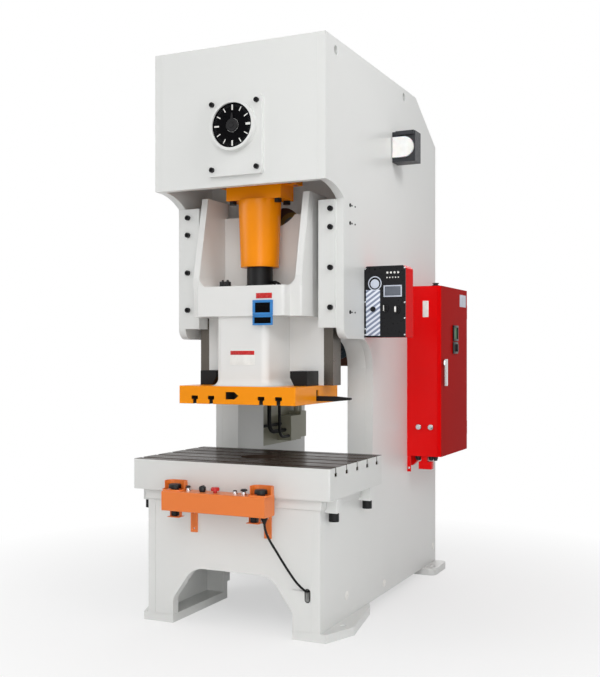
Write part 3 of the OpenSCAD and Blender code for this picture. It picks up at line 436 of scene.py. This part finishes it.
# Broken edges: sharp corners are eased by these widths in metres, as on ground and painted steel
EASE = {
    0.004: "bolster slide connecting_rod rod_cap bed_plate foot_plates",
    0.0025: ("head_top_plate slide_plate gibs bearing_cover base_front_plate columns cabinet_door"
        " control_box console stop_blocks bolster_lugs side_lamp control_panel guide_beds cabinet"),
    0.0018: "head_front_plate side_plate_left side_plate_right",
    0.0012: ("knockout_bar console_brackets slide_rails door_handle console_selector panel_knob_left"
        " panel_knob_right"),
}
# Points closer than this are welded first, and corners that turn by more degrees than this are eased
SAME_POINT = 0.00001
EASE_ANGLE = 38
for width, names in EASE.items():
    for name in names.split():
        weld = nodes[name].modifiers.new("weld", "WELD")
        weld.merge_threshold = SAME_POINT
        ease = nodes[name].modifiers.new("ease", "BEVEL")
        ease.width = width
        ease.segments = 3
        ease.limit_method = "ANGLE"
        ease.angle_limit = math.radians(EASE_ANGLE)
        ease.harden_normals = True


# Forms, all given in millimetres

def join(form, part):
    """Adds a part to a form and frees the part."""
    mesh = bpy.data.meshes.new("join")
    part.to_mesh(mesh)
    part.free()
    form.from_mesh(mesh)
    bpy.data.meshes.remove(mesh)


def round_edges(part, width):
    bmesh.ops.bevel(part, geom=part.edges[:], offset=width / MM, segments=2, profile=0.5, affect="EDGES")


def add_block(form, low, high, ease=1.0):
    """A block with eased edges."""
    low, high = at(*low), at(*high)
    part = bmesh.new()
    bmesh.ops.create_cube(part, size=1)
    bmesh.ops.scale(part, vec=high - low, verts=part.verts)
    bmesh.ops.translate(part, vec=(low + high) / 2, verts=part.verts)
    round_edges(part, ease)
    join(form, part)


def add_frame(form, low, high, border, ease, across=0):
    """An upright frame of four eased bars: top and bottom, and two sides across X (0) or Y (1)."""
    for axis in (2, across):
        for near in (True, False):
            start, end = list(low), list(high)
            if axis == across:
                start[2] += border
                end[2] -= border
            if near:
                end[axis] = low[axis] + border
            else:
                start[axis] = high[axis] - border
            add_block(form, start, end, ease)


TURN = {
    "X": Matrix.Rotation(math.radians(90), 4, "Y"),
    "-X": Matrix.Rotation(math.radians(-90), 4, "Y"),
    "-Y": Matrix.Rotation(math.radians(90), 4, "X"),
    "Z": Matrix.Identity(4),
    "-Z": Matrix.Rotation(math.radians(180), 4, "X"),
}


def circle(steps):
    """The cosine and sine of equal steps round a circle."""
    angles = [2 * math.pi * i / steps for i in range(steps)]
    return [(math.cos(angle), math.sin(angle)) for angle in angles]


def add_turned(form, centre, axis, profile, steps):
    """A turned form from (radius, height) pairs along an axis."""
    part = bmesh.new()
    rings = []
    for r, h in profile:
        spots = circle(steps) if r else [(0, 0)]
        rings.append([part.verts.new((r / MM * c, r / MM * s, h / MM)) for c, s in spots])
    for low, high in zip(rings, rings[1:]):
        for i in range(steps):
            j = i + 1
            quad = [low[i % len(low)], low[j % len(low)], high[j % len(high)], high[i % len(high)]]
            face = list(dict.fromkeys(quad))
            if len(face) > 2:
                part.faces.new(face)
    part.transform(Matrix.Translation(at(*centre)) @ TURN[axis])
    join(form, part)


def add_tube(form, points, radii, steps=14):
    """A round bar or hose along points, with a radius for each and closed ends."""
    part = bmesh.new()
    line = [at(*p) for p in points]
    rings = []
    side = None
    for i, (p, radius) in enumerate(zip(line, radii)):
        run = (line[min(i + 1, len(line) - 1)] - line[max(i - 1, 0)]).normalized()
        if side is None:
            side = run.orthogonal().normalized()
        side = (side - run * side.dot(run)).normalized()
        other = run.cross(side)
        r = radius / MM
        rings.append([part.verts.new(p + side * r * c + other * r * s) for c, s in circle(steps)])
    for low, high in zip(rings, rings[1:]):
        for k in range(steps):
            part.faces.new((low[k], low[(k + 1) % steps], high[(k + 1) % steps], high[k]))
    part.faces.new(rings[0])
    part.faces.new(rings[-1])
    join(form, part)


# Edges that turn by more than this many degrees are drawn sharp
SHARP_ANGLE = 35


def piece(name, form, material, body):
    """Makes a form into a piece of the scene that rides a body."""
    mesh = bpy.data.meshes.new(name)
    bmesh.ops.recalc_face_normals(form, faces=form.faces)
    form.to_mesh(mesh)
    form.free()
    mesh.materials.append(material)
    mesh.shade_smooth()
    mesh.set_sharp_from_angle(angle=math.radians(SHARP_ANGLE))
    obj = bpy.data.objects.new(name, mesh)
    scene.collection.objects.link(obj)
    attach(obj, body)


# The console's cable, on the same route as its solid

CABLE_D = 0.011
route = [(245, -130, 574), (245, -130, 548), (252, -129, 512), (269, -121, 470), (291, -106, 425),
    (315, -88, 375), (344, -68, 319), (366, -52, 280), (380, -38, 258), (390, -24, 242), (396, -10, 232),
    (399, 4, 227), (400, 22, 226)]
cable_data = bpy.data.curves.new("console_cable_run", "CURVE")
cable_data.dimensions = "3D"
cable_data.bevel_depth = CABLE_D / 2
cable_data.bevel_resolution = 5
cable_data.resolution_u = 8
cable_data.use_fill_caps = True
spline = cable_data.splines.new("BEZIER")
spline.bezier_points.add(len(route) - 1)
for knot, point in zip(spline.bezier_points, route):
    knot.co = at(*point)
    knot.handle_left_type = knot.handle_right_type = "AUTO"
cable = bpy.data.objects.new("console_cable_run", cable_data)
scene.collection.objects.link(cable)
bpy.context.view_layer.update()
run = 0.0
for a, b in zip(spline.bezier_points, spline.bezier_points[1:]):
    bits = interpolate_bezier(a.co, a.handle_right, b.handle_left, b.co, 33)
    run += sum((q - p).length for p, q in zip(bits, bits[1:]))
cable_data.materials.append(rubber)
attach(cable, "frame")
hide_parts("console_cable")

# Tapered boot where the cable leaves the console
exit_x, exit_y, _ = route[0]
boot = [(5.6, -32), (7, -32), (8.4, -26), (12, -18), (15, -13), (15.6, -11), (15.6, 0)]
form = bmesh.new()
add_turned(form, (exit_x, exit_y, CONSOLE_LOW), "Z", boot, 36)
piece("cable_boot", form, rubber, "frame")

# Rubber edging round the slot where the cable goes into the base
SLOT_R = 12
SLOT_LOW = 190
EDGING_R = 2.2
EDGING_Y = -0.6
slot_x, _, slot_top = route[-1]
edge = []
for z, first in ((slot_top, 0), (SLOT_LOW, 180)):
    for angle in range(first, first + 181, 15):
        turn = math.radians(angle)
        edge.append((slot_x + SLOT_R * math.cos(turn), EDGING_Y, z + SLOT_R * math.sin(turn)))
edge.append(edge[0])
form = bmesh.new()
add_tube(form, edge, [EDGING_R] * len(edge), 10)
piece("cable_grommet", form, rubber, "frame")


# Dial: twelve marks, fine ticks, and a pointer that turns with the crank

def add_mark(form, width, depth, length, radius, angle, ease=0.0):
    """A bar on the dial's face, out from its centre at an angle in degrees."""
    part = bmesh.new()
    bmesh.ops.create_cube(part, size=1)
    bmesh.ops.scale(part, vec=(width / MM, depth / MM, length / MM), verts=part.verts)
    if ease:
        round_edges(part, ease)
    bmesh.ops.translate(part, vec=(0, 0, radius / MM), verts=part.verts)
    part.transform(Matrix.Translation(at(*DIAL)) @ Matrix.Rotation(math.radians(angle), 4, "Y"))
    join(form, part)


form = bmesh.new()
for i in range(12):
    width = 11 if i == 3 else 7.5 if i % 3 == 0 else 5
    add_mark(form, width, 1.6, 26 if i % 3 == 0 else 22, 85, 30 * i, 0.5)
piece("dial_marks", form, pale_plastic, "frame")
form = bmesh.new()
add_turned(form, DIAL, "-Y", [(33, -6), (33, 0.4), (105.5, 0.4), (106.5, 1.5), (106.5, -3)], 96)
piece("dial_face", form, dial_black, "frame")
form = bmesh.new()
for i in range(72):
    if i % 6:
        add_mark(form, 1.2, 1, 10 if i % 3 else 15, 94, 5 * i)
piece("dial_ticks", form, device_plastic, "frame")
form = bmesh.new()
hub = [(31, -4), (31, 6), (29, 8), (14, 8), (13, 7), (12, 9), (0, 9.5)]
add_turned(form, DIAL, "-Y", hub, 56)
hand = bmesh.new()
for x, z in ((-9, 20), (9, 20), (3, 58), (-3, 58)):
    hand.verts.new((x / MM, -3.2 / MM, z / MM))
hand.faces.new(hand.verts)
raised = bmesh.ops.extrude_face_region(hand, geom=hand.faces[:])["geom"]
corners = [v for v in raised if isinstance(v, bmesh.types.BMVert)]
bmesh.ops.translate(hand, vec=(0, -2.4 / MM, 0), verts=corners)
hand.transform(Matrix.Translation(at(*DIAL)))
join(form, hand)
piece("dial_pointer", form, black_plastic, "crank")

# Counter window, red strip and pale plate on the slide, all plain
form = bmesh.new()
add_block(form, (93, SLIDE_BOX_Y - 1.4, 1577.4), (178.4, SLIDE_BOX_Y + SEAT, 1603.3), 0.7)
piece("slide_strip", form, red_plastic, "slide")
form = bmesh.new()
add_frame(form, (77, SLIDE_BOX_Y - 8, 1497), (184, SLIDE_BOX_Y + SEAT, 1570), 13, 1.5)
add_frame(form, (77, SLIDE_BOX_Y - 8, 1449.5), (184, SLIDE_BOX_Y - 0.5, 1496), 9, 1.5)
add_block(form, (80, SLIDE_BOX_Y - 1, 1452), (181, SLIDE_BOX_Y + 1, 1520), 0.6)
piece("counter_frame", form, blue_plastic, "slide")
form = bmesh.new()
add_block(form, (89, SLIDE_BOX_Y - 4, 1509), (172, SLIDE_BOX_Y + 0.1, 1558))
add_block(form, (85, SLIDE_BOX_Y - 4, 1457.5), (176, SLIDE_BOX_Y - 0.4, 1488))
for z, height in ((1533, 24), (1473, 16)):
    for i in range(4):
        x = 104 + 16.5 * i
        low = (x - 6.4, SLIDE_BOX_Y - 5.4, z - height / 2)
        add_block(form, low, (x + 6.4, SLIDE_BOX_Y - 3.8, z + height / 2), 1.2)
piece("counter_windows", form, dial_black, "slide")
form = bmesh.new()
add_block(form, (-60, SLIDE_BODY_Y - 1.2, 1259.3), (77, SLIDE_BODY_Y + SEAT, 1331.4), 0.6)
piece("slide_field", form, pale_plastic, "slide")
form = bmesh.new()
add_block(form, (-57, SLIDE_BODY_Y - 1.8, 1308), (74, SLIDE_BODY_Y - 0.8, 1328), 0.4)
piece("slide_field_band", form, red_plastic, "slide")

# Lubricant block and screw collar with its clamp lever on top of the slide
form = bmesh.new()
for x in (-105, -78):
    add_block(form, (x - 12, 96, SLIDE_TOP - SEAT), (x + 12, 122, SLIDE_TOP + 25), 2)
add_block(form, (-120, 100, SLIDE_TOP - SEAT), (-63, 118, SLIDE_TOP + 5))
for x in (-105, -78):
    add_turned(form, (x, 109, SLIDE_TOP + 24), "Z", [(7, 0), (7, 3), (5, 4), (5, 9), (0, 9.6)], 20)
piece("lubricant_block", form, black_plastic, "slide")
form = bmesh.new()
collar = [(65.8, -SEAT), (75, -SEAT), (76, 1), (76, 8), (74, 10), (65.8, 10), (65.8, -SEAT)]
add_turned(form, (SCREW_X, SCREW_Y, SLIDE_TOP), "Z", collar, 72)
add_block(form, (64, SCREW_Y - 18, SLIDE_TOP), (88, SCREW_Y + 18, SLIDE_TOP + 12), 2.5)
add_turned(form, (96, SCREW_Y, SLIDE_TOP - SEAT), "Z", [(13, 0), (13, 5), (9, 6), (9, 13), (0, 14)], 28)
stem = [(88, 0, 20), (72, 0, 28), (58, 0, 32)]
lever = [(70, -10, 30), (96, -16, 30), (112, -20, 22), (124, -23, 12)]
for points, radii in ((stem, (6, 6, 5)), (lever, (5, 6, 7, 8))):
    add_tube(form, [(x, SCREW_Y + y, SLIDE_TOP + z) for x, y, z in points], radii)
piece("clamp_lever", form, black_oxide, "slide")

# Contact blocks of the palm buttons under the console, each on its small bracket
nut = [(3.5, -0.3), (3.5, 1.5), (2.5, 2.2), (0, 2.2)]
for name, x in (("contacts_left", -224), ("contacts_right", 196)):
    form = bmesh.new()
    low = (x - 13, CONSOLE_Y - 18, CONSOLE_LOW - 28)
    add_block(form, low, (x + 13, CONSOLE_Y + 18, CONSOLE_LOW + SEAT), 2)
    for dx in (-7, 7):
        add_turned(form, (x + dx, CONSOLE_Y - 18, CONSOLE_LOW - 19), "-Y", nut, 14)
    piece(name, form, black_plastic, "frame")
    form = bmesh.new()
    low = (x - 30, CONSOLE_Y - 28, CONSOLE_LOW - 32.5)
    add_block(form, low, (x + 34, CONSOLE_Y + 24, CONSOLE_LOW - 29.8), 0.8)
    for dx in (-24, 28):
        low = (x + dx - 1.5, CONSOLE_Y - 10, CONSOLE_LOW - 30)
        add_block(form, low, (x + dx + 1.5, CONSOLE_Y + 10, CONSOLE_LOW + SEAT), 0.5)
    piece(name + "_bracket", form, console_paint, "frame")

# Dark caps on the console's lamps, and the selector's knob
form = bmesh.new()
lamp_caps = (
    (-155, [(9.6, -SEAT), (11, 0.6), (11, 9), (9.5, 11.4), (0, 12.2)], 32),
    (95, [(9.4, -SEAT), (9.4, 2.6), (7.5, 4), (0, 4.6)], 32),
    (141, [(8, -SEAT), (8, 2), (15, 3.6), (16.4, 6.4), (15.4, 10.4), (9, 13), (0, 13.6)], 36),
)
for x, profile, steps in lamp_caps:
    add_turned(form, (x, CONSOLE_Y, CONSOLE_LAMP_TOP), "Z", profile, steps)
piece("console_caps", form, black_plastic, "frame")
form = bmesh.new()
knob = [(15, 6.6), (16.5, 8), (16.5, 21), (14.5, 25), (9, 27.2), (0, 27.6)]
add_turned(form, (SELECTOR_X, CONSOLE_Y, CONSOLE_TOP), "Z", knob, 40)
low = (SELECTOR_X - 1.6, CONSOLE_Y - 16, CONSOLE_TOP + 25)
add_block(form, low, (SELECTOR_X + 1.6, CONSOLE_Y + 16, CONSOLE_TOP + 30), 1.2)
piece("selector_cap", form, black_plastic, "selector")

# Panel details: bezel, screen, indicator rows, plain pale fields and edge screws
form = bmesh.new()
add_frame(form, (568, PANEL_Y - 1.6, 1597), (664, PANEL_Y + 1, 1655), 6, 0.8)
piece("screen_bezel", form, field_plastic, "frame")
form = bmesh.new()
add_block(form, (572, PANEL_Y + 0.6, 1601), (660, PANEL_Y + 3, 1651), 0.3)
piece("screen_plate", form, screen_face, "frame")
form = bmesh.new()
large_light = [(5.5, -0.4), (5.5, 1.0), (4, 2.4), (0, 3)]
for i in range(4):
    add_turned(form, (588 + 19 * i, PANEL_Y - 0.4, 1718), "-Y", large_light, 20)
small_light = [(3.6, -0.4), (3.6, 0.6), (2.4, 1.4), (0, 1.7)]
for i in range(5):
    add_turned(form, (586 + 15 * i, PANEL_Y - 0.2, 1694), "-Y", small_light, 16)
piece("panel_indicators", form, pale_plastic, "frame")
form = bmesh.new()
add_block(form, (474, PANEL_Y - 0.7, 1404), (549, PANEL_Y + 0.3, 1634), 0.4)
piece("panel_fields", form, striped_field, "frame")
form = bmesh.new()
ring = [(31, -0.4), (36, -0.4), (36, 0.8), (35, 1.2), (31, 1.2), (31, -0.4)]
add_turned(form, (521.5, PANEL_Y, 1666), "-Y", ring, 56)
add_turned(form, (521.5, PANEL_Y, 1664), "-Y", [(23, -0.4), (23, 0.8), (22, 1.2), (0, 1.2)], 48)
piece("panel_disc", form, field_plastic, "frame")
form = bmesh.new()
screw = [(4.2, -0.4), (4.2, 1.4), (3.2, 2.4), (1.5, 2.4), (1.5, 1.2), (0, 1.2)]
screw_spots = ((469, 1740), (678, 1740), (469, 1574), (678, 1568), (469, 1438), (678, 1490), (678, 1408),
    (469, 1408))
for x, z in screw_spots:
    add_turned(form, (x, PANEL_Y, z), "-Y", screw, 20)
piece("panel_screws", form, chrome, "frame")

# Pale pointers on the panel's knobs
for name, half in (("knob_left", 2.4), ("knob_right", 4.4)):
    x, _, z = middle("panel_" + name)
    form = bmesh.new()
    add_block(form, (x - half, PANEL_Y - 24, z - 12), (x + half, PANEL_Y - 21.6, z + 15.4), 0.8)
    piece(name + "_pointer", form, pale_plastic, name)

# Pale plugs in the service holes low in the side plates
form = bmesh.new()
plug = [(17.4, -8), (17.4, 0.2), (21, 0.2), (21.4, 1.4), (20, 2.8), (8, 4.2), (0, 4.4)]
right_spots = ((312, 146), (836, 94), (1705, 134))
left_spots = ((312, 146), (1705, 134))
for axis, side, spots in (("X", SIDE_X, right_spots), ("-X", -SIDE_X, left_spots)):
    for y, z in spots:
        add_turned(form, (side, y, z), axis, plug, 40)
piece("hole_plugs", form, pale_plastic, "frame")

# Cabinet details: blank plate, vent cap, caps on its front, and the block, strap and glands below it
form = bmesh.new()
add_block(form, (557, CABINET_Y - 1.4, 1518), (591, CABINET_Y + SEAT, 1609), 0.6)
piece("cabinet_plate", form, pale_plastic, "frame")
form = bmesh.new()
vent = [(22, -SEAT), (22, 4), (14, 6), (14, 12), (19, 13), (19, 17), (0, 18)]
add_turned(form, (622, CABINET_Y + 34, CABINET_TOP), "Z", vent, 32)
piece("cabinet_vent", form, black_plastic, "frame")
form = bmesh.new()
cap = [(15, -0.4), (15, 3), (13.5, 4.4), (6, 4.8), (5, 3.6), (0, 3.6)]
for x in (534, 604):
    add_turned(form, (x, CABINET_Y - 10 + SEAT, 900), "-Y", cap, 32)
add_turned(form, (475, CABINET_Y + 3, 666), "-Y", [(6.5, -0.4), (6.5, 2.6), (5, 4), (0, 4)], 24)
piece("cabinet_caps", form, chrome, "frame")
form = bmesh.new()
add_block(form, (545, CABINET_Y + 8, 702), (580, CABINET_Y + 48, CABINET_LOW + SEAT))
add_block(form, (530, CABINET_Y + 6, 662), (606, CABINET_Y + 50, 704), 2)
add_block(form, (SIDE_X, CABINET_Y + 3, 645), (SIDE_X + 22, CABINET_Y + 7, CABINET_LOW + SEAT))
piece("junction_block", form, red_paint, "frame")
form = bmesh.new()
for x, r in ((523, 18), (598, 15), (624, 14)):
    gland = [(r, 0), (r, 13), (r - 3, 15), (r - 3, 22), (r - 7, 25), (0, 25)]
    add_turned(form, (x, CABINET_Y + 26, CABINET_LOW + SEAT), "-Z", gland, 32)
piece("cabinet_glands", form, black_plastic, "frame")

# Door details: window frame with a switch below it, window, and blank plate
form = bmesh.new()
add_frame(form, (DOOR_X - SEAT, 1440, 1386), (DOOR_X + 10, 1532, 1476), 12, 1.2, 1)
add_block(form, (DOOR_X - SEAT, 1440, 1312), (DOOR_X + 8, 1532, 1380), 2.5)
add_turned(form, (DOOR_X + 8, 1486, 1346), "X", [(24, -0.4), (24, 3), (20, 5), (0, 5)], 36)
add_block(form, (DOOR_X + 12, 1478, 1324), (DOOR_X + 22, 1494, 1368), 3)
piece("door_switch", form, black_plastic, "door")
form = bmesh.new()
add_block(form, (DOOR_X - SEAT, 1450, 1397), (DOOR_X + 4, 1522, 1466), 0.5)
piece("door_window", form, green_plastic, "door")
form = bmesh.new()
add_block(form, (DOOR_X - SEAT, 1590, 1590), (DOOR_X + 1, 1722, 1662), 0.5)
piece("door_plate", form, field_plastic, "door")


# Floor, world and lamps, in metres

def backdrop(tree):
    """1 for rays that see the background, straight or by reflection, and 0 for light on the object."""
    path = tree.nodes.new("ShaderNodeLightPath")
    seen = path.outputs["Is Camera Ray"]
    for name in ("Is Glossy Ray", "Is Transmission Ray"):
        either = tree.nodes.new("ShaderNodeMath")
        either.operation = "MAXIMUM"
        tree.links.new(seen, either.inputs[0])
        tree.links.new(path.outputs[name], either.inputs[1])
        seen = either.outputs["Value"]
    return seen


# Half the floor's width, and its height just under the feet
FLOOR_HALF = 40
FLOOR_Z = -0.0005
# From the first radius to the second the floor goes over into an even white
FADE = (0.5, 2.6)
SQUARE = ((-1, -1), (1, -1), (1, 1), (-1, 1))
floor_corners = [(x * FLOOR_HALF, y * FLOOR_HALF, FLOOR_Z) for x, y in SQUARE]
floor_mesh = bpy.data.meshes.new("floor")
floor_mesh.from_pydata(floor_corners, [], [(0, 1, 2, 3)])
floor = bpy.data.objects.new("floor", floor_mesh)
scene.collection.objects.link(floor)
pale = bpy.data.materials.new("floor")
pale.use_nodes = True
tree = pale.node_tree
matt = tree.nodes["Principled BSDF"]
matt.inputs["Base Color"].default_value = (0.86, 0.86, 0.86, 1)
matt.inputs["Roughness"].default_value = 0.9
matt.inputs["Specular IOR Level"].default_value = 0.1
glow = tree.nodes.new("ShaderNodeEmission")
blend = tree.nodes.new("ShaderNodeMixShader")
where = tree.nodes.new("ShaderNodeTexCoord")
length = tree.nodes.new("ShaderNodeVectorMath")
length.operation = "LENGTH"
tree.links.new(where.outputs["Object"], length.inputs[0])
fade = tree.nodes.new("ShaderNodeMapRange")
for key, value in zip(("From Min", "From Max", "To Min", "To Max"), (*FADE, 0.5, 1.0)):
    fade.inputs[key].default_value = value
tree.links.new(length.outputs["Value"], fade.inputs["Value"])
share = tree.nodes.new("ShaderNodeMath")
share.operation = "MULTIPLY"
tree.links.new(fade.outputs["Result"], share.inputs[0])
tree.links.new(backdrop(tree), share.inputs[1])
tree.links.new(share.outputs["Value"], blend.inputs["Fac"])
tree.links.new(matt.outputs["BSDF"], blend.inputs[1])
tree.links.new(glow.outputs["Emission"], blend.inputs[2])
tree.links.new(blend.outputs["Shader"], tree.nodes["Material Output"].inputs["Surface"])
floor_mesh.materials.append(pale)

# The world lights the object at the first strength, and is seen at the second
WORLD = (0.4, 1.0)
world = bpy.data.worlds.new("studio")
world.use_nodes = True
scene.world = world
tree = world.node_tree
back = tree.nodes["Background"]
back.inputs["Color"].default_value = (1, 1, 1, 1)
level = tree.nodes.new("ShaderNodeMapRange")
level.inputs["To Min"].default_value = WORLD[0]
level.inputs["To Max"].default_value = WORLD[1]
tree.links.new(backdrop(tree), level.inputs["Value"])
tree.links.new(level.outputs["Result"], back.inputs["Strength"])


def lamp(name, place, aim, size, power, fan=180):
    """A round soft lamp that points from its place to its aim, with its fan in degrees."""
    data = bpy.data.lights.new(name, "AREA")
    data.shape = "DISK"
    data.size = size
    data.energy = power
    data.spread = math.radians(fan)
    obj = bpy.data.objects.new(name, data)
    scene.collection.objects.link(obj)
    obj.location = place
    obj.rotation_euler = (Vector(aim) - Vector(place)).to_track_quat("-Z", "Y").to_euler()


lamp("key", (1.6, -6.0, 4.6), (0, 0, 1.4), 3.5, 102)
lamp("low", (2.7, -5.5, 1.2), (0, -0.2, 1.8), 3.0, 66)
lamp("side", (3.6, -1.6, 4.3), (0.46, -0.3, 2.4), 2.0, 9.5, 60)
lamp("foot", (3.6, -2.6, 0.9), (0.52, -0.85, 0.3), 1.2, 1.0, 32)
lamp("left", (-5.5, -3.5, 3.5), (0, 0, 1.3), 3.5, 68)
lamp("rear", (-1.5, 6.0, 4.5), (0, 0, 1.4), 4.0, 88)
